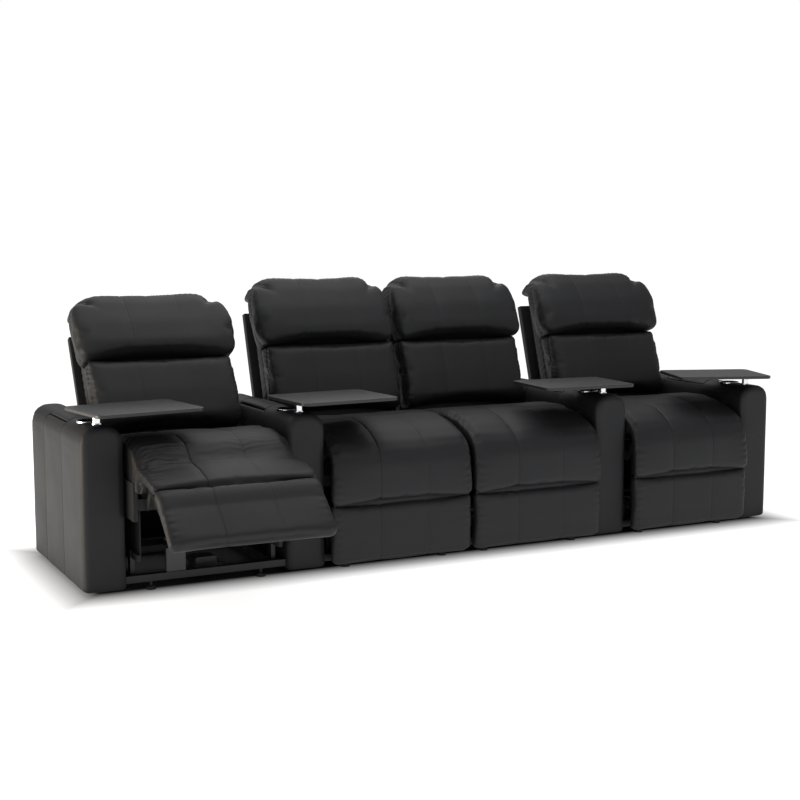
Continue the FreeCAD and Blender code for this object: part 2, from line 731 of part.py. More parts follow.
def row_nodes():
    nodes = {}
    seats = range(len(travel_now))
    arms = range(len(tray_angles))
    nodes["base_frames"] = group([shifted(piece, bay_left(seat), 0) for seat in seats for piece in base_frame()])
    nodes["drive_units"] = group([shifted(piece, bay_left(seat), 0) for seat in seats for piece in drive_unit()])
    nodes["cup_holders"] = group([in_row(cup_holder(), i) for i in arms])
    nodes["tray_posts"] = group([in_row(piece, i) for i in arms for piece in (tray_post(), lid_pin())])
    for seat in seats:
        nodes.update(seat_nodes(seat))
    for i in arms:
        nodes.update(arm_nodes(i))
    return nodes


def origin_of(nodes):
    # The floor point under the middle of the overall box
    boxes = [shape.optimalBoundingBox(False, False) for shape in nodes.values()]
    x = (min(box.XMin for box in boxes) + max(box.XMax for box in boxes)) / 2
    y = (min(box.YMin for box in boxes) + max(box.YMax for box in boxes)) / 2
    return x, y


nodes = row_nodes()
origin_x, origin_y = origin_of(nodes)
os.makedirs("parts", exist_ok=True)
for name, shape in nodes.items():
    shape.translate(V(-origin_x, -origin_y, 0))
    shape.exportStep("parts/" + name + ".step")
print(len(nodes), "nodes, origin at", round(origin_x, 3), round(origin_y, 3))
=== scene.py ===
import bmesh
import bpy
import json
import math
from mathutils import Matrix, Vector, noise


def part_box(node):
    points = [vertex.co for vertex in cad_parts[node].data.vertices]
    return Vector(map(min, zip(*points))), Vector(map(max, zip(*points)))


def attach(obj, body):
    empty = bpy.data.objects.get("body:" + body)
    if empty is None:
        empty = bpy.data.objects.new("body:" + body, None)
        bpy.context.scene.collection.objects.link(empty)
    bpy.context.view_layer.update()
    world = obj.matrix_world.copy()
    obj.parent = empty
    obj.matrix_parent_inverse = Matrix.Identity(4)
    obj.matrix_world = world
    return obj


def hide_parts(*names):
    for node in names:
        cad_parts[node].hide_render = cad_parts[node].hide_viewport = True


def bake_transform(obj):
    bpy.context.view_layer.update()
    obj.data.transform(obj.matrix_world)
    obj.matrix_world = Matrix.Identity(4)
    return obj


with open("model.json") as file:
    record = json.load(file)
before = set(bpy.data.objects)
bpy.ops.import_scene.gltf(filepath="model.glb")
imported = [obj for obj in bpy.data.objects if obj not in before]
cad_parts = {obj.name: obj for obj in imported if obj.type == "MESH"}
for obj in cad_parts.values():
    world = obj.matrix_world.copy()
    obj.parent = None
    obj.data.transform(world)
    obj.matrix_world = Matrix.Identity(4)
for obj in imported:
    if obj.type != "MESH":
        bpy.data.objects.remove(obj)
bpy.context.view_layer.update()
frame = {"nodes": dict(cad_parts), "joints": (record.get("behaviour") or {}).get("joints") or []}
joints = {joint["name"]: joint for joint in frame["joints"]}

row = {
    "seats": 4,
    "bay": 0.600,
    "armFront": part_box("arm_a")[0].y,
    "slideTravel": 0.170,
    "leanUpright": 17.5,
    "backPivot": (0.500, 0.420),       # y and z in a closed seat, from the arms' front face and the floor
    "frontPivot": (0.010, 0.402),
    "footPivot": (-0.004, 0.2475),
    "frontTurn": 88.64,
    "footTurn": 58.77,
}
skin = {
    "voxel": 0.009, "squeeze": 0.006,
    "seams": (-0.100, 0.100), "rightSeam": 0.6,        # the right seam is pulled less tight
    "seamDepth": 0.0030, "seamWidth": 0.0028, "puckerDepth": 0.0030, "puckerWidth": 0.022, "loopGap": 0.0035,
}
stuffing = {
    "pressure": 4.0, "stiffness": 2, "frames": 20,
    "growth": 0.04,                                    # a little more leather than the foam needs, so it creases
    "sink": 0.3, "sinkMost": 0.003,
}


def newPiece(name, bm):
    bmesh.ops.recalc_face_normals(bm, faces=bm.faces)
    mesh = bpy.data.meshes.new(name)
    bm.to_mesh(mesh)
    bm.free()
    piece = bpy.data.objects.new(name, mesh)
    bpy.context.scene.collection.objects.link(piece)
    return piece


def addBox(bm, low, high):
    # a box from corner to corner; gives back its middle
    size, middle = Vector(high) - Vector(low), (Vector(high) + Vector(low)) / 2
    bmesh.ops.create_cube(bm, size=1, matrix=Matrix.Translation(middle) @ Matrix.Diagonal(size).to_4x4())
    return middle


def pullOut(bm, faces, shift):
    pulled = bmesh.ops.extrude_face_region(bm, geom=faces)["geom"]
    bmesh.ops.translate(bm, vec=shift, verts=[v for v in pulled if isinstance(v, bmesh.types.BMVert)])


def roundEdges(bm, edges, radius, segments):
    bmesh.ops.bevel(bm, geom=edges, offset=radius, offset_type="OFFSET", segments=segments, profile=0.5,
                    affect="EDGES", material=-1)


def sideBlank(name, corners, width):
    # a side outline of (y, z) corners, pulled out along x and centred on x = 0
    bm = bmesh.new()
    face = bm.faces.new([bm.verts.new((-width / 2, y, z)) for y, z in corners])
    pullOut(bm, [face], (width, 0, 0))
    return newPiece(name, bm)


def settle(piece):
    # makes what the modifiers show the piece's own mesh
    shown = piece.evaluated_get(bpy.context.evaluated_depsgraph_get())
    mesh = bpy.data.meshes.new_from_object(shown)
    piece.modifiers.clear()
    piece.data = mesh
    return piece


def skinOver(piece, voxel):
    remesh = piece.modifiers.new("skin", "REMESH")
    remesh.mode = "VOXEL"
    remesh.voxel_size = voxel
    return settle(piece)


def softened(piece, times):
    # rounds the edges of a remeshed blank a little
    bm = bmesh.new()
    bm.from_mesh(piece.data)
    for step in range(times):
        bmesh.ops.smooth_vert(bm, verts=bm.verts, factor=0.5, use_axis_x=True, use_axis_y=True, use_axis_z=True)
    bm.to_mesh(piece.data)
    bm.free()
    return piece


def roundCorners(piece, halfWidth, edge, radius, up):
    # makes the square corners of the front view round; up is 1 for the top ones and -1 for the bottom ones
    for v in piece.data.vertices:
        across = (abs(v.co.x) - halfWidth + radius) / radius
        along = (up * (v.co.z - edge) + radius) / radius
        if across > 0 and along > 0:
            pull = max(across, along) / math.hypot(across, along)
            v.co.x = math.copysign(halfWidth - radius + radius * across * pull, v.co.x)
            v.co.z = edge + up * radius * (along * pull - 1)
    piece.data.update()
    return piece


def stuff(piece, cap):
    # swells the cover like a stuffed cushion, square to its faces and by the cap at most
    before = [(v.co.copy(), v.normal.copy()) for v in piece.data.vertices]
    cloth = piece.modifiers.new("stuffing", "CLOTH")
    cloth.settings.quality = 4
    cloth.settings.shrink_min = -stuffing["growth"]
    cloth.settings.bending_stiffness = stuffing["stiffness"]
    cloth.settings.use_pressure = True
    cloth.settings.uniform_pressure_force = stuffing["pressure"]
    cloth.settings.effector_weights.gravity = 0
    cloth.point_cache.frame_start = 1
    cloth.point_cache.frame_end = stuffing["frames"]
    for step in range(1, stuffing["frames"] + 1):
        bpy.context.scene.frame_set(step)
    settle(piece)
    for v, (old, normal) in zip(piece.data.vertices, before):
        rise = (v.co - old).dot(normal)
        sunk = max(rise * stuffing["sink"], -stuffing["sinkMost"])
        v.co = old + normal * (cap * math.tanh(rise / cap) if rise > 0 else sunk)
    piece.data.update()
    bpy.context.scene.frame_set(1)
    return piece


def finer(piece):
    divide = piece.modifiers.new("finer", "SUBSURF")
    divide.levels = divide.render_levels = 1
    return settle(piece)


def press(piece, depthAt):
    # pushes every point in along its normal by depthAt(place, normal)
    mesh = piece.data
    moves = [v.normal * depthAt(v.co, v.normal) for v in mesh.vertices]
    for v, move in zip(mesh.vertices, moves):
        v.co -= move
    mesh.update()
    return piece


def keepWithin(piece, halfWidth):
    # squeezes the sides softly inside the bay
    soft = skin["squeeze"]
    for v in piece.data.vertices:
        over = abs(v.co.x) - (halfWidth - soft)
        if over > 0:
            v.co.x = math.copysign(halfWidth - soft * math.exp(-over / soft), v.co.x)
    return piece


def seamed(piece, axis, places):
    # cuts three edge loops for each sewn channel across one axis
    bm = bmesh.new()
    bm.from_mesh(piece.data)
    for place in places:
        for side in (-1, 0, 1):
            point, normal = Vector(), Vector()
            point[axis], normal[axis] = place + side * skin["loopGap"], 1
            bmesh.ops.bisect_plane(bm, geom=bm.verts[:] + bm.edges[:] + bm.faces[:], dist=1e-6,
                                   plane_co=point, plane_no=normal)
    bm.to_mesh(piece.data)
    bm.free()
    return piece


def upholstered(name, part):
    # the way every padded part starts: blank, skin, round corners, stuffing, finer mesh
    piece = sideBlank(name, part["side"], part["width"])
    skinOver(piece, skin["voxel"] * part["voxelShare"])
    for edge, radius, up in part["corners"]:
        roundCorners(piece, part["width"] / 2, edge, radius, up)
    softened(piece, part["soften"])
    stuff(piece, part["cap"])
    finer(piece)
    return keepWithin(piece, part["widest"])


def ramp(value, start, run):
    # 0 before the start and 1 after the run
    return min(1, max(0, (value - start) / run))


def dip(distance, depth, width):
    return depth * math.exp(-(distance / width) ** 2)


def seam(distance, share=1.0):
    # a sharp sewn line in a soft shallow dip
    return share * (dip(distance, skin["seamDepth"], skin["seamWidth"])
                    + dip(distance, skin["puckerDepth"], skin["puckerWidth"]))


def sewn(x, share=1.0):
    # the two long seams of each cover
    return sum(seam(x - line, share * (1.0 if line < 0 else skin["rightSeam"])) for line in skin["seams"])


def pleat(along, away, gathers, side=1):
    # small gathers square to a seam, uneven in pitch, that fade away from it
    seed, depth, reach, pitch = gathers
    seed = math.copysign(seed, side)
    shifted = along + 0.006 * noise.noise(Vector((along * 40, seed, 0)))
    strength = 0.55 + 0.45 * noise.noise(Vector((along * 23, seed, 5)))
    return depth * strength * math.cos(2 * math.pi * shifted / pitch) * math.exp(-abs(away) / reach)


def copied(piece, name):
    twin = piece.copy()
    twin.data = piece.data.copy()
    twin.name = twin.data.name = name
    bpy.context.scene.collection.objects.link(twin)
    return twin


def smooth(piece):
    piece.data.polygons.foreach_set("use_smooth", [True] * len(piece.data.polygons))
    return piece


def moved(piece, matrix):
    piece.data.transform(matrix)
    if matrix.determinant() < 0:
        piece.data.flip_normals()
    piece.data.update()
    return piece


def openShare(seat):
    return -joints[f"seat_{seat}_slide"]["range_m"][0] / row["slideTravel"]


def leanNow(seat):
    return row["leanUpright"] - joints[f"back_{seat}_recline"]["range_deg"][0]


def bayMiddle(seat):
    low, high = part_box(f"seat_box_{seat}")
    return (low.x + high.x) / 2


def turnAbout(pivot, degrees):
    about = Matrix.Translation((0, *pivot))
    return about @ Matrix.Rotation(math.radians(-degrees), 4, "X") @ about.inverted()


def intoBay(seat):
    forward = openShare(seat) * row["slideTravel"]
    return Matrix.Translation((bayMiddle(seat), row["armFront"] - forward, 0))


# Leather-covered soft pieces, made once in a closed seat and then placed.
# corners: height, radius, and 1 at the top or -1 at the bottom; gathers: seed, depth, reach and pitch

chaise = {
    "width": 0.582, "widest": 0.2962, "voxelShare": 1, "soften": 3, "cap": 0.013,
    "side": [(0.472, 0.404), (0.474, 0.486), (0.455, 0.503), (0.340, 0.519), (0.200, 0.526), (0.105, 0.512),
             (0.040, 0.490), (-0.010, 0.462), (-0.036, 0.430), (-0.048, 0.385), (-0.050, 0.320),
             (-0.049, 0.262), (-0.042, 0.247), (-0.018, 0.246), (-0.016, 0.300), (-0.016, 0.400),
             (0.004, 0.428), (0.042, 0.430), (0.066, 0.404)],
    "corners": [(0.246, 0.024, -1)],
    "inside": (-0.030, 0.440), "hem": 0.274, "gathers": (21, 0.0020, 0.016, 0.026),
    "flapTop": 0.395, "flapBack": -0.0168,             # the cover stays clear of the front pad's timber,
    "boxFront": 0.075, "boxTop": 0.3992,               # of the seat box
    "pivotRoom": 0.018,                                # and of the pin between them
}


def makeChaise():
    piece = upholstered("chaiseMaster", chaise)
    seamed(piece, 0, skin["seams"])
    insideY, insideZ = chaise["inside"]

    def depthAt(place, normal):
        if place.y > insideY and place.z < insideZ:
            return 0.0
        edge = abs(place.x) - chaise["hem"]
        return sewn(place.x) + pleat(place.y - place.z, edge, chaise["gathers"], place.x)

    press(piece, depthAt)
    pivotY, pivotZ = row["frontPivot"]
    for v in piece.data.vertices:
        if v.co.z < chaise["flapTop"]:
            v.co.y = min(v.co.y, chaise["flapBack"])
        if v.co.y > chaise["boxFront"]:
            v.co.z = max(v.co.z, chaise["boxTop"])
        room = math.hypot(v.co.y - pivotY, v.co.z - pivotZ)
        if room < chaise["pivotRoom"]:
            v.co.y = pivotY + (v.co.y - pivotY) * chaise["pivotRoom"] / room
            v.co.z = pivotZ + (v.co.z - pivotZ) * chaise["pivotRoom"] / room
    return piece


footPad = {
    "width": 0.584, "widest": 0.2950, "voxelShare": 0.8, "soften": 2, "cap": 0.012,
    "side": [(-0.0165, 0.022), (-0.0165, 0.246), (-0.043, 0.246), (-0.047, 0.240), (-0.049, 0.134),
             (-0.047, 0.038), (-0.035, 0.022)],
    "corners": [(0.246, 0.016, 1), (0.022, 0.030, -1)],
    "faceBack": -0.028, "hem": 0.272, "seamShare": 0.7, "gathers": (31, 0.0014, 0.014, 0.028),
    "back": -0.0165, "top": 0.2468,
}


def makeFootPad():
    piece = upholstered("footPadMaster", footPad)
    seamed(piece, 0, skin["seams"])

    def depthAt(place, normal):
        if place.y > footPad["faceBack"]:
            return 0.0
        edge = abs(place.x) - footPad["hem"]
        return sewn(place.x, footPad["seamShare"]) + pleat(place.z, edge, footPad["gathers"], place.x)

    press(piece, depthAt)
    for v in piece.data.vertices:
        v.co.y = min(v.co.y, footPad["back"])
        v.co.z = min(v.co.z, footPad["top"])
    return piece


lumbar = {
    "width": 0.560, "widest": 0.2925, "voxelShare": 1, "soften": 4, "cap": 0.017,
    "side": [(0.084, 0.098), (0.084, 0.392), (0.004, 0.392), (-0.016, 0.372), (-0.024, 0.245),
             (-0.018, 0.148), (-0.002, 0.110), (0.014, 0.098)],
    "corners": [(0.098, 0.030, -1)],
    "rear": 0.070, "faceBack": 0.015, "seamShare": 0.5,
    "sideFrom": 0.255, "sideRun": 0.020, "rim": 0.016, "gathers": (3, 0.0034, 0.022, 0.019), "slant": 0.4,
    "back": 0.0845, "low": 0.098, "arch": 0.024, "archRise": 0.090,
}


def makeLumbar():
    piece = upholstered("lumbarMaster", lumbar)
    seamed(piece, 0, skin["seams"])
    seamed(piece, 1, (lumbar["rim"],))

    def depthAt(place, normal):
        if place.y > lumbar["rear"]:
            return 0.0
        side = ramp(abs(place.x), lumbar["sideFrom"], lumbar["sideRun"])
        rim = place.y - lumbar["rim"]
        along = place.z - lumbar["slant"] * place.y
        depth = side * (seam(rim) + pleat(along, rim, lumbar["gathers"], place.x))
        return depth + (sewn(place.x, lumbar["seamShare"]) if place.y < lumbar["faceBack"] else 0.0)

    press(piece, depthAt)
    for v in piece.data.vertices:
        v.co.y = min(v.co.y, lumbar["back"])
        across = v.co.x / lumbar["widest"]
        rise = max(0, 1 - (v.co.z - lumbar["low"]) / lumbar["archRise"]) ** 2
        v.co.z += lumbar["arch"] * (1 - across * across) * rise
    return piece


pillow = {
    "width": 0.628, "widest": 0.3265, "voxelShare": 1, "soften": 9, "cap": 0.018,
    "side": [(0.083, 0.386), (-0.008, 0.386), (-0.028, 0.400), (-0.036, 0.446), (-0.031, 0.536),
             (-0.010, 0.619), (0.022, 0.677), (0.062, 0.697), (0.106, 0.691), (0.142, 0.649),
             (0.138, 0.614), (0.083, 0.606)],
    "corners": [(0.697, 0.125, 1), (0.386, 0.034, -1)],
    "rim": 0.030, "rimMiddle": 0.50, "rimSize": (0.31, 0.19), "rimFrom": 0.82, "rimRun": 0.18,
    "rimSeam": 0.45, "rimRadius": 0.28, "gathers": (11, 0.0024, 0.020, 0.019),
    "faceBack": 0.070, "seamShare": 0.5, "seamSpread": 1.04,
    "low": 0.386, "high": 0.697, "waist": 0.060, "waistTop": 0.55,      # tops are shares of its height
    "arch": 0.028, "archTop": 0.35, "archBack": 0.060, "leanBack": 0.032,
    "topDip": 0.007, "dipWidth": 0.4, "dipFrom": 0.6,
    "shellBack": 0.0845, "shellTop": 0.598,            # below the back shell's top it stops in front of it
    "beside": 0.2975, "joined": {2: 1, 3: -1},         # two seats' backs stand side by side, with no overhang
}


def makePillow():
    piece = upholstered("pillowMaster", pillow)
    seamed(piece, 0, skin["seams"])
    seamed(piece, 1, (pillow["rim"],))
    wide, tall = pillow["rimSize"]
    low, high = pillow["low"], pillow["high"]

    def depthAt(place, normal):
        rim, up = place.y - pillow["rim"], place.z - pillow["rimMiddle"]
        outward = ramp(math.hypot(place.x / wide, up / tall), pillow["rimFrom"], pillow["rimRun"])
        around = math.atan2(up, place.x) * pillow["rimRadius"]
        depth = outward * (seam(rim, pillow["rimSeam"]) + pleat(around, rim, pillow["gathers"]))
        face = place.y < pillow["faceBack"]
        return depth + (sewn(place.x / pillow["seamSpread"], pillow["seamShare"]) if face else 0.0)

    press(piece, depthAt)
    for v in piece.data.vertices:
        share = (v.co.z - low) / (high - low)
        across = v.co.x / (pillow["width"] / 2)
        v.co.x *= 1 - pillow["waist"] * max(0, 1 - share / pillow["waistTop"]) ** 2
        if v.co.y < pillow["archBack"]:
            v.co.z += pillow["arch"] * (1 - across * across) * max(0, 1 - share / pillow["archTop"]) ** 2
        v.co.y += pillow["leanBack"] * max(0, share)
        middle = dip(across, pillow["topDip"], pillow["dipWidth"])
        v.co.z -= middle * max(0, share - pillow["dipFrom"]) / (1 - pillow["dipFrom"])
        if v.co.z < pillow["shellTop"]:
            v.co.y = min(v.co.y, pillow["shellBack"])
    return piece


backShell = {
    "width": 0.556, "widest": 0.286, "voxelShare": 1.2, "soften": 3, "cap": 0.006,
    "side": [(0.074, 0.040), (0.074, 0.600), (0.090, 0.626), (0.116, 0.632), (0.146, 0.616), (0.150, 0.560),
             (0.150, 0.040)],
    "corners": [],
    "seam": 0.085, "gathers": (17, 0.0045, 0.060, 0.030),
    "slant": 0.5,                                      # the gathers run a little downhill to the rear
}


def makeBackShell():
    def depthAt(place, normal):
        if abs(normal.x) < 0.5:
            return 0.0
        along = place.z + backShell["slant"] * place.y
        return pleat(along, place.y - backShell["seam"], backShell["gathers"], place.x)

    return press(upholstered("backShellMaster", backShell), depthAt)


backBoard = {
    "low": (-0.288, 0.1915, -0.151), "high": (0.288, 0.2160, 0.573),
    "welt": 0.008, "weltHeight": 0.003, "edgeRadius": 0.0022, "edgeSegments": 3,
}


def makeBackBoard():
    # a leather-covered board with a welt sewn round its rear face
    bm = bmesh.new()
    addBox(bm, backBoard["low"], backBoard["high"])
    rear = max(bm.faces, key=lambda face: face.calc_center_median().y)
    ring = bmesh.ops.inset_region(bm, faces=[rear], thickness=backBoard["welt"], depth=0)["faces"]
    pullOut(bm, ring, (0, backBoard["weltHeight"], 0))
    bmesh.ops.delete(bm, geom=ring, context="FACES")
    sharp = [edge for edge in bm.edges if edge.is_manifold and edge.calc_face_angle() > 1]
    roundEdges(bm, sharp, backBoard["edgeRadius"], backBoard["edgeSegments"])
    return newPiece("backBoardMaster", bm)


creaseStrip = {"halfWidth": 0.284, "radius": 0.036, "thickness": 0.005, "reach": 20, "steps": 10}


def makeCreaseStrip():
    # closes the crease behind the two pads, from inside one to inside the other
    pivotY, pivotZ = row["footPivot"]
    bm = bmesh.new()
    near, far = creaseStrip["radius"] - creaseStrip["thickness"], creaseStrip["radius"]
    corners = [bm.verts.new((-creaseStrip["halfWidth"], pivotY - radius, pivotZ)) for radius in (near, far)]
    edge = bm.edges.new(corners)
    reach = math.radians(creaseStrip["reach"])
    about = (0, pivotY, pivotZ)
    bmesh.ops.rotate(bm, cent=about, matrix=Matrix.Rotation(-reach, 3, "X"), verts=corners)
    bmesh.ops.spin(bm, geom=[edge, *corners], cent=about, axis=(1, 0, 0), angle=2 * reach,
                   steps=creaseStrip["steps"], use_merge=False)
    pullOut(bm, bm.faces[:], (2 * creaseStrip["halfWidth"], 0, 0))
    return newPiece("creaseStripMaster", bm)


rearCloth = {
    "y": 0.742, "low": 0.016, "high": 0.262, "clear": 0.004, "thickness": 0.0012,
    "mesh": 0.02, "rows": 12, "ripple": 0.003, "rippleScale": (9, 2),
    "between": (("armCoverA", "armCoverB", 1, 1), ("armCoverB", "armCoverC", 2, 3),
                ("armCoverC", "armCoverD", 4, 4)),     # the arms at its ends, its first and its last seat
}


def makeRearCloth(name, left, right):
    # the black dust cloth that hangs between two arms and closes the row at the rear; it is also a dark sheet put
    # in as painted shade, keeping the floor beneath the seats dark
    bm = bmesh.new()
    wide, tall = right - left, rearCloth["high"] - rearCloth["low"]
    bmesh.ops.create_grid(bm, x_segments=round(wide / rearCloth["mesh"]), y_segments=rearCloth["rows"], size=0.5)
    bmesh.ops.rotate(bm, matrix=Matrix.Rotation(math.pi / 2, 3, "X"), verts=bm.verts)
    bmesh.ops.scale(bm, vec=(wide, 1, tall), verts=bm.verts)
    middle = ((left + right) / 2, row["armFront"] + rearCloth["y"], (rearCloth["low"] + rearCloth["high"]) / 2)
    bmesh.ops.translate(bm, vec=middle, verts=bm.verts)
    alongX, alongZ = rearCloth["rippleScale"]
    for v in bm.verts:
        v.co.y += rearCloth["ripple"] * noise.noise(Vector((v.co.x * alongX, 0, v.co.z * alongZ)))
    piece = newPiece(name, bm)
    wall = piece.modifiers.new("cloth thickness", "SOLIDIFY")
    wall.thickness = rearCloth["thickness"]
    return settle(piece)


# Arms

arm = {
    "width": 0.150, "depth": 0.750, "low": 0.012, "high": 0.590, "voxelShare": 1.25,
    "topRadius": 0.060, "topSegments": 10, "footRadius": 0.006, "footSegments": 2,
    "frontRadius": 0.018, "frontSegments": 4,
    "seams": (0.280, 0.545), "bulge": 0.003, "bulgeFoot": 0.080,
    "uneven": 0.0012, "unevenScale": 9, "calmFrom": 0.500, "calmRun": 0.050,    # the top is calm and straight
    "lidFront": 0.282, "lidRear": 0.540, "lidSeat": 0.571, "pastSide": 0.020, "pastTop": 0.620,
    "well": ((0.040, 0.292, 0.331), (0.124, 0.530, 0.580)),
    "cupY": 0.175, "cupBore": 0.0393, "cupFloor": 0.514, "rimBore": 0.0433, "rimFloor": 0.584, "rimCut": 0.050,
    "postY": 0.070, "postBore": 0.01405, "postFloor": 0.560, "boreCut": 0.100,
    "pocket": ((0.138, 0.095, 0.4915), (0.170, 0.135, 0.5165)),
}


def armBlank():
    # a block with round edges along its top, across its foot and round its front
    bm = bmesh.new()
    middle = addBox(bm, (0, 0, arm["low"]), (arm["width"], arm["depth"], arm["high"]))
    front = 0.001 - arm["depth"] / 2
    level = lambda a, b: abs(a.x - b.x) < 1e-5
    rounds = ((lambda a, b: a.z > 0 and b.z > 0 and level(a, b), arm["topRadius"], arm["topSegments"]),
              (lambda a, b: a.z < 0 and b.z < 0 and level(a, b) and a.y * b.y < 0, arm["footRadius"],
               arm["footSegments"]),
              (lambda a, b: a.y < front and b.y < front, arm["frontRadius"], arm["frontSegments"]))
    for picks, radius, segments in rounds:
        edges = [edge for edge in bm.edges if picks(edge.verts[0].co - middle, edge.verts[1].co - middle)]
        roundEdges(bm, edges, radius, segments)
    return newPiece("armMaster", bm)


def cutAway(piece, cutters):
    # takes boxes (two corners) and rods (foot, then radius and height) out of the piece
    bm = bmesh.new()
    for kind, low, high in cutters:
        if kind == "box":
            addBox(bm, low, high)
        else:
            x, y, z = low
            radius, height = high
            bmesh.ops.create_cone(bm, cap_ends=True, cap_tris=False, segments=48, radius1=radius, radius2=radius,
                                  depth=height, matrix=Matrix.Translation((x, y, z + height / 2)))
    cutter = newPiece("cutter", bm)
    cut = piece.modifiers.new("cut", "BOOLEAN")
    cut.operation = "DIFFERENCE"
    cut.solver = "EXACT"
    cut.object = cutter
    settle(piece)
    bpy.data.objects.remove(cutter)
    return piece


def makeArm():
    piece = skinOver(armBlank(), skin["voxel"] * arm["voxelShare"])
    finer(piece)
    seamed(piece, 1, arm["seams"])
    ends = (0.0, *arm["seams"], arm["depth"])

    def depthAt(place, normal):
        depth = 0.0
        calm = 1 - ramp(place.z, arm["calmFrom"], arm["calmRun"])
        for line in arm["seams"]:
            if abs(normal.y) < 0.5:
                depth += dip(place.y - line, skin["seamDepth"], skin["seamWidth"])
        for start, stop in zip(ends, ends[1:]):
            if start < place.y < stop and abs(normal.x) > 0.5:
                t = (place.y - start) / (stop - start)
                upward = min(1, (place.z - arm["low"]) / arm["bulgeFoot"])
                depth -= arm["bulge"] * math.sin(math.pi * t) ** 0.7 * calm * upward
        return depth + arm["uneven"] * noise.noise(place * arm["unevenScale"]) * calm

    press(piece, depthAt)
    wide, middle, past = arm["width"], arm["width"] / 2, arm["pastSide"]
    cutAway(piece, [("box", (-past, arm["lidFront"], arm["lidSeat"]),
                     (wide + past, arm["lidRear"], arm["pastTop"])),
                    ("rod", (middle, arm["cupY"], arm["cupFloor"]), (arm["cupBore"], arm["boreCut"])),
                    ("rod", (middle, arm["postY"], arm["postFloor"]), (arm["postBore"], arm["boreCut"])),
                    ("box", *arm["pocket"])])
    cutAway(piece, [("box", *arm["well"]),
                    ("rod", (middle, arm["cupY"], arm["rimFloor"]), (arm["rimBore"], arm["rimCut"]))])
    return piece


lid = {"hinge": (0.031, 0.578), "gap": 0.001, "under": 0.0005, "steps": 10, "voxel": 0.004, "crown": 0.003}


def makeLid():
    radius, wide = arm["topRadius"], arm["width"]
    centre = arm["high"] - radius
    low = arm["lidSeat"] + lid["under"]
    hingeX, hingeZ = lid["hinge"]
    points = [(hingeX, low), (hingeX, hingeZ)]
    leftStart = math.asin((hingeZ - centre) / radius)
    for step in range(lid["steps"] + 1):
        angle = leftStart + (math.pi / 2 - leftStart) * step / lid["steps"]
        points.append((radius - radius * math.cos(angle), centre + radius * math.sin(angle)))
    rightEnd = math.asin((low - centre) / radius)
    for step in range(lid["steps"] + 1):
        angle = math.pi / 2 + (rightEnd - math.pi / 2) * step / lid["steps"]
        points.append((wide - radius + radius * math.cos(angle), centre + radius * math.sin(angle)))
    bm = bmesh.new()
    start, stop = arm["lidFront"] + lid["gap"], arm["lidRear"] - lid["gap"]
    face = bm.faces.new([bm.verts.new((x, start, z)) for x, z in points])
    pullOut(bm, [face], (0, stop - start, 0))

    def depthAt(place, normal):
        t = ramp(place.y, start, stop - start)
        return -lid["crown"] * math.sin(math.pi * t) ** 0.6 * max(0, normal.z)

    return press(skinOver(newPiece("lidMaster", bm), lid["voxel"]), depthAt)


def armPlace(letter):
    low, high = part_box(f"arm_{letter}")
    if letter in "cd":                                 # the right half of the row mirrors the left one
        return Matrix.Translation((high.x, row["armFront"], 0)) @ Matrix.Diagonal((-1, 1, 1, 1))
    return Matrix.Translation((low.x, row["armFront"], 0))


# Materials

leather = {"colour": (0.0090, 0.0093, 0.0108), "darkest": 0.8, "lightest": 1.3, "roughness": (0.50, 0.64),
           "specular": 0.34, "grain": 420, "grainDepth": 0.0004}


def nodeMaterial(name):
    material = bpy.data.materials.new(name)
    material.use_nodes = True
    nodes, links = material.node_tree.nodes, material.node_tree.links
    return material, nodes, links, nodes["Principled BSDF"], nodes.new("ShaderNodeTexCoord").outputs["Object"]


def addNoise(nodes, links, place, scale, detail):
    cloudy = nodes.new("ShaderNodeTexNoise")
    cloudy.inputs["Scale"].default_value = scale
    cloudy.inputs["Detail"].default_value = detail
    links.new(place, cloudy.inputs["Vector"])
    return cloudy.outputs["Fac"]


def addColour(nodes, links, fac, shader, darker, lighter):
    tint = nodes.new("ShaderNodeValToRGB")
    tint.color_ramp.elements[0].color = (*darker, 1)
    tint.color_ramp.elements[1].color = (*lighter, 1)
    links.new(fac, tint.inputs["Fac"])
    links.new(tint.outputs["Color"], shader.inputs["Base Color"])


def addRoughness(nodes, links, fac, shader, least, most):
    gloss = nodes.new("ShaderNodeMapRange")
    gloss.inputs["To Min"].default_value = least
    gloss.inputs["To Max"].default_value = most
    links.new(fac, gloss.inputs["Value"])
    links.new(gloss.outputs["Result"], shader.inputs["Roughness"])


def addBump(nodes, links, height, strength, distance):
    bump = nodes.new("ShaderNodeBump")
    bump.inputs["Strength"].default_value = strength
    bump.inputs["Distance"].default_value = distance
    links.new(height, bump.inputs["Height"])
    return bump


def makeLeather():
    material, nodes, links, shader, place = nodeMaterial("leather")
    clouds = addNoise(nodes, links, place, 7, 4)
    darker = [c * leather["darkest"] for c in leather["colour"]]
    lighter = [c * leather["lightest"] for c in leather["colour"]]
    addColour(nodes, links, clouds, shader, darker, lighter)
    addRoughness(nodes, links, clouds, shader, *leather["roughness"])
    shader.inputs["Specular IOR Level"].default_value = leather["specular"]
    pebbles = nodes.new("ShaderNodeTexVoronoi")
    pebbles.inputs["Scale"].default_value = leather["grain"]
    links.new(place, pebbles.inputs["Vector"])
    fine = addBump(nodes, links, pebbles.outputs["Distance"], 0.35, leather["grainDepth"])
    broad = addBump(nodes, links, addNoise(nodes, links, place, 45, 5), 0.3, 0.0015)
    links.new(fine.outputs["Normal"], broad.inputs["Normal"])
    links.new(broad.outputs["Normal"], shader.inputs["Normal"])
    return material


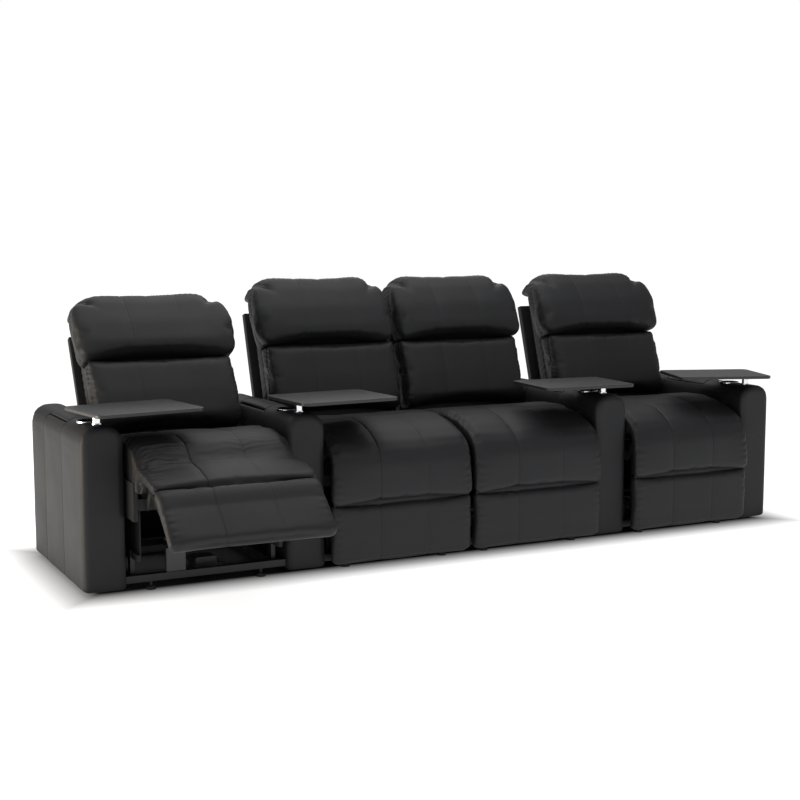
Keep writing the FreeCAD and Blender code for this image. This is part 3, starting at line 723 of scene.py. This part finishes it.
def makePlain(name, colour, roughness, metallic=0.0, scale=60, depth=0.0003):
    material, nodes, links, shader, place = nodeMaterial(name)
    shader.inputs["Metallic"].default_value = metallic
    grain = addNoise(nodes, links, place, scale, 6)
    addColour(nodes, links, grain, shader, [c * 0.8 for c in colour], [min(1, c * 1.2) for c in colour])
    addRoughness(nodes, links, grain, shader, max(0.03, roughness - 0.08), roughness + 0.08)
    bump = addBump(nodes, links, grain, 0.3, depth)
    links.new(bump.outputs["Normal"], shader.inputs["Normal"])
    return material


def dress(piece, material):
    piece.data.materials.clear()
    piece.data.materials.append(material)
    return piece


black = makeLeather()
blackSteel = makePlain("blackSteel", (0.025, 0.025, 0.027), 0.40, metallic=0.6)
darkTimber = makePlain("darkTimber", (0.010, 0.010, 0.010), 0.8)
trayFinish = makePlain("trayLaminate", (0.020, 0.0185, 0.0180), 0.40, scale=140)
casing = makePlain("motorCasing", (0.05, 0.05, 0.052), 0.5)
# near black: the rear cloth is partly a dark sheet put in as painted shade beneath the seats
dustClothAndShadeSheet = makePlain("dustClothAndShadeSheet", (0.006, 0.006, 0.006), 0.9, scale=700, depth=0.0005)
chrome = makePlain("chrome", (0.78, 0.78, 0.80), 0.10, metallic=1.0, scale=20, depth=0.00005)
switchFinish = makePlain("switchPlastic", (0.03, 0.03, 0.03), 0.5)
print("materials done")

for name, node in frame["nodes"].items():
    if name.startswith(("cup_holders", "tray_posts")):
        dress(node, chrome)
    elif name.startswith("tray_"):
        dress(node, trayFinish)
    elif name.startswith(("base_frames", "front_pad_arms", "footrest_links")):
        dress(node, blackSteel)
    elif name.startswith(("seat_box", "back_frame")):
        dress(node, darkTimber)
    elif name.startswith("drive"):
        dress(node, casing)
    elif name.startswith("recline_switch"):
        dress(node, switchFinish)
    else:
        dress(node, black)

# Placing the soft pieces

masters = {"chaise": makeChaise(), "footPad": makeFootPad(), "lumbar": makeLumbar(), "pillow": makePillow(),
           "backShell": makeBackShell(), "backBoard": makeBackBoard(), "creaseStrip": makeCreaseStrip()}
print("soft masters done")

fold = {"start": (0.120, 0.515), "end": (-0.050, 0.330)}           # where the seat cover starts and ends its bend
footFold = {"start": (-0.045, 0.2440), "end": (-0.045, 0.1700)}    # and the footrest pad's
wear = {"puff": 0.0035, "puffScale": 6.5}
creases = {
    "depth": 0.0032, "pitch": 0.020, "lowest": 0.38, "rearmost": 0.20,
    "spread": 0.22, "wander": 0.012, "wanderScale": 14,
    "leftMiddle": -0.215, "leftReach": 0.075, "rightShare": 0.15, "rightMiddle": 0.12, "rightReach": 0.14,
    "knee": -0.42, "kneeReach": 0.10,                  # in y - z, which grows towards the rear of the cover
}


def bendAbout(piece, pivot, degrees, bend):
    # turns the cover about a pivot, more and more from the bend's start line to its end line
    pivotY, pivotZ = pivot
    startY, startZ = bend["start"]
    runY, runZ = bend["end"][0] - startY, bend["end"][1] - startZ
    for v in piece.data.vertices:
        t = ((v.co.y - startY) * runY + (v.co.z - startZ) * runZ) / (runY ** 2 + runZ ** 2)
        t = min(1, max(0, t))
        angle = math.radians(degrees) * t * t * (3 - 2 * t)
        y, z = v.co.y - pivotY, v.co.z - pivotZ
        v.co.y = pivotY + y * math.cos(angle) + z * math.sin(angle)
        v.co.z = pivotZ - y * math.sin(angle) + z * math.cos(angle)
    piece.data.update()


def wornIn(piece, seed, share=1.0):
    # soft unevenness of used foam, different on each seat
    def depthAt(place, normal):
        return share * wear["puff"] * noise.noise(place * wear["puffScale"] + Vector((seed * 9.1, 0, 0)))

    return press(piece, depthAt)


def foldCreases(place, normal):
    # loose folds over the open seat's knee, strongest beside its left hem
    if place.z < creases["lowest"] or place.y > creases["rearmost"]:
        return 0.0
    downward = place.y - place.z
    fan = downward + creases["spread"] * (place.x + 0.29) * (0.35 + downward)
    fan += creases["wander"] * noise.noise(place * creases["wanderScale"])
    left = dip(place.x - creases["leftMiddle"], 1, creases["leftReach"])
    right = dip(place.x - creases["rightMiddle"], creases["rightShare"], creases["rightReach"])
    along = dip(downward - creases["knee"], 1, creases["kneeReach"])
    return creases["depth"] * (left + right) * along * math.sin(2 * math.pi * fan / creases["pitch"])


def makeBrackets(seat):
    # the footrest's own steel, without the pad that the cover stands for
    bm = bmesh.new()
    bm.from_mesh(frame["nodes"][f"footrest_{seat}"].data)
    bmesh.ops.remove_doubles(bm, verts=bm.verts, dist=1e-6)
    middle = bayMiddle(seat)
    bmesh.ops.delete(bm, geom=[v for v in bm.verts if abs(v.co.x - middle) > 0.28], context="VERTS")
    return newPiece(f"footrestBrackets{seat}", bm)


def placeSeat(seat):
    share = openShare(seat)
    bay = intoBay(seat)
    frontAngle = row["frontTurn"] * share
    footAngle = (row["footTurn"] - row["frontTurn"]) * share
    withFront = turnAbout(row["frontPivot"], frontAngle)

    cover = wornIn(copied(masters["chaise"], f"seatCover{seat}"), seat)
    if share > 0.5:
        press(cover, foldCreases)
    bendAbout(cover, row["frontPivot"], frontAngle, fold)
    smooth(dress(moved(cover, bay), black))
    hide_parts(f"seat_cushion_{seat}", f"front_pad_{seat}")
    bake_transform(cover)

    strip = copied(masters["creaseStrip"], f"creaseStrip{seat}")
    smooth(dress(moved(strip, bay @ withFront), black))
    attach(strip, f"front_pad_{seat}")

    foot = wornIn(copied(masters["footPad"], f"footrestPad{seat}"), seat + 4, 0.5)
    bendAbout(foot, row["footPivot"], footAngle, footFold)
    smooth(dress(moved(foot, bay @ withFront), black))
    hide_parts(f"footrest_{seat}")
    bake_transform(foot)
    brackets = dress(makeBrackets(seat), blackSteel)
    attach(brackets, f"footrest_{seat}")

    lean = bay @ turnAbout(row["backPivot"], leanNow(seat)) @ Matrix.Translation((0, *row["backPivot"]))
    for part, node, fill in (("lumbar", "lumbar_pad", 0.75), ("pillow", "head_pillow", 0.7),
                             ("backShell", None, 0.9), ("backBoard", "back_panel", None)):
        pad = copied(masters[part], f"{part}{seat}")
        if part == "pillow" and seat in pillow["joined"]:
            for v in pad.data.vertices:
                if v.co.x * pillow["joined"][seat] > 0:
                    v.co.x *= pillow["beside"] / pillow["widest"]
        if part in ("lumbar", "pillow"):
            wornIn(pad, seat + 8)
        smooth(dress(moved(pad, lean), black))
        if node:
            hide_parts(f"{node}_{seat}")
        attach(pad, f"back_{seat}")


for seat in range(1, row["seats"] + 1):
    placeSeat(seat)
for master in masters.values():
    bpy.data.objects.remove(master)
# the rear cloths: dark sheets that keep the floor beneath the seats dark, as painted shade
for count, (leftArm, rightArm, first, last) in enumerate(rearCloth["between"], 1):
    left = bayMiddle(first) - row["bay"] / 2 + rearCloth["clear"]
    right = bayMiddle(last) + row["bay"] / 2 - rearCloth["clear"]
    cloth = smooth(dress(makeRearCloth(f"rearCloth{count}", left, right), dustClothAndShadeSheet))
    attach(cloth, "row")
print("seats done")

armMaster, lidMaster = makeArm(), makeLid()
for letter in "abcd":
    cover = moved(copied(armMaster, f"armCover{letter.upper()}"), armPlace(letter))
    smooth(dress(cover, black))
    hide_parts(f"arm_{letter}")
    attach(cover, "row")
    top = moved(copied(lidMaster, f"lidCover{letter.upper()}"), armPlace(letter))
    smooth(dress(top, black))
    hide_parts(f"arm_lid_{letter}")
    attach(top, f"lid_{letter}")
bpy.data.objects.remove(armMaster)
bpy.data.objects.remove(lidMaster)
print("arms done")

# Studio

studio = {
    "camera": (-1.1504, -4.6394, 1.2398), "yaw": 26.932, "pitch": 6.790, "lens": 62.91,
    "floorSize": 60, "floorPaintedShadeColours": (0.04, 0.60), "floorGlow": 0.85, "floorEdge": 0.20,
    "underRow": ((-1.45, 0.05), (1.45, 0.74)),         # painted shade: the floor is painted dark here, beneath the row, and white all round
    "roomLight": 0.34, "white": (1, 1, 1), "warm": (1.0, 0.86, 0.66),
}
lights = {                                             # place, target, size, watts and colour
    "topLight": ((0, 0.2, 4.2), (0, 0, 0.4), (5, 3), 95, studio["white"]),
    "backLight": ((0.5, 3.6, 3.5), (0, 0, 0.6), (5, 1.6), 45, studio["white"]),
    "leftLight": ((-4.4, 0.5, 0.42), (-1.5, 0.1, 0.30), (2.0, 0.8), 85, studio["warm"]),
    "frontLight": ((-0.5, -5.5, 3.2), (0, 0, 0.6), (6, 3), 30, studio["white"]),
}


def addMath(nodes, operation, second=None):
    sums = nodes.new("ShaderNodeMath")
    sums.operation = operation
    if second is not None:
        sums.inputs[1].default_value = second
    return sums


def addFloorRange(nodes, links, outside, least, most, socket):
    # from least under the row to most at floorEdge outside it
    blend = nodes.new("ShaderNodeMapRange")
    blend.inputs["From Max"].default_value = studio["floorEdge"]
    blend.inputs["To Min"].default_value = least
    blend.inputs["To Max"].default_value = most
    links.new(outside.outputs[0], blend.inputs["Value"])
    links.new(blend.outputs["Result"], socket)


def makeFloor():
    bm = bmesh.new()
    bmesh.ops.create_grid(bm, x_segments=1, y_segments=1, size=studio["floorSize"] / 2)
    floor = newPiece("floor", bm)
    material, nodes, links, shader, place = nodeMaterial("studioFloor")
    shader.inputs["Roughness"].default_value = 0.9
    shader.inputs["Emission Color"].default_value = (*studio["white"], 1)
    parts = nodes.new("ShaderNodeSeparateXYZ")
    links.new(place, parts.inputs[0])
    outside = addMath(nodes, "MAXIMUM")                # how far a point lies outside the row's footprint
    for axis, (low, high) in enumerate(zip(*studio["underRow"])):
        shift = row["armFront"] if axis else 0
        centred = addMath(nodes, "SUBTRACT", (low + high) / 2 + shift)
        away = addMath(nodes, "ABSOLUTE")
        reach = addMath(nodes, "SUBTRACT", (high - low) / 2)
        links.new(parts.outputs[axis], centred.inputs[0])
        links.new(centred.outputs[0], away.inputs[0])
        links.new(away.outputs[0], reach.inputs[0])
        links.new(reach.outputs[0], outside.inputs[axis])
    # painted shade beneath the row: there the floor has no glow and a dark base colour; all round it glows white,
    # which also lightens the row's cast shadow
    addFloorRange(nodes, links, outside, 0, studio["floorGlow"], shader.inputs["Emission Strength"])
    addFloorRange(nodes, links, outside, *studio["floorPaintedShadeColours"], shader.inputs["Base Color"])
    floor.data.materials.append(material)


def makeCamera():
    # its place is counted from the front left corner of the first arm
    origin = Vector((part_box("arm_a")[0].x, row["armFront"], 0))
    camera = bpy.data.objects.new("camera", bpy.data.cameras.new("camera"))
    camera.data.lens = studio["lens"]
    camera.data.sensor_width = 36
    camera.data.clip_end = 60
    camera.location = origin + Vector(studio["camera"])
    camera.rotation_euler = (math.radians(90 - studio["pitch"]), 0, -math.radians(studio["yaw"]))
    bpy.context.scene.collection.objects.link(camera)
    bpy.context.scene.camera = camera


def makeLight(name, place, target, size, power, colour):
    lamp = bpy.data.objects.new(name, bpy.data.lights.new(name, "AREA"))
    lamp.data.shape = "RECTANGLE"
    lamp.data.size, lamp.data.size_y = size
    lamp.data.energy = power
    lamp.data.color = colour
    lamp.location = place
    lamp.rotation_euler = (Vector(target) - Vector(place)).to_track_quat("-Z", "Y").to_euler()
    bpy.context.scene.collection.objects.link(lamp)


def makeWorld():
    # white where the camera looks past the row, and a weaker light on the row
    world = bpy.data.worlds.new("studio")
    world.use_nodes = True
    nodes, links = world.node_tree.nodes, world.node_tree.links
    room, backdrop = nodes["Background"], nodes.new("ShaderNodeBackground")
    room.inputs["Strength"].default_value = studio["roomLight"]
    for sky in (room, backdrop):
        sky.inputs["Color"].default_value = (*studio["white"], 1)
    rays, pick = nodes.new("ShaderNodeLightPath"), nodes.new("ShaderNodeMixShader")
    links.new(rays.outputs["Is Camera Ray"], pick.inputs[0])
    links.new(room.outputs["Background"], pick.inputs[1])
    links.new(backdrop.outputs["Background"], pick.inputs[2])
    links.new(pick.outputs["Shader"], nodes["World Output"].inputs["Surface"])
    bpy.context.scene.world = world


makeFloor()
makeCamera()
for name, settings in lights.items():
    makeLight(name, *settings)
makeWorld()
bpy.context.scene.view_settings.view_transform = "Standard"
print("studio done")
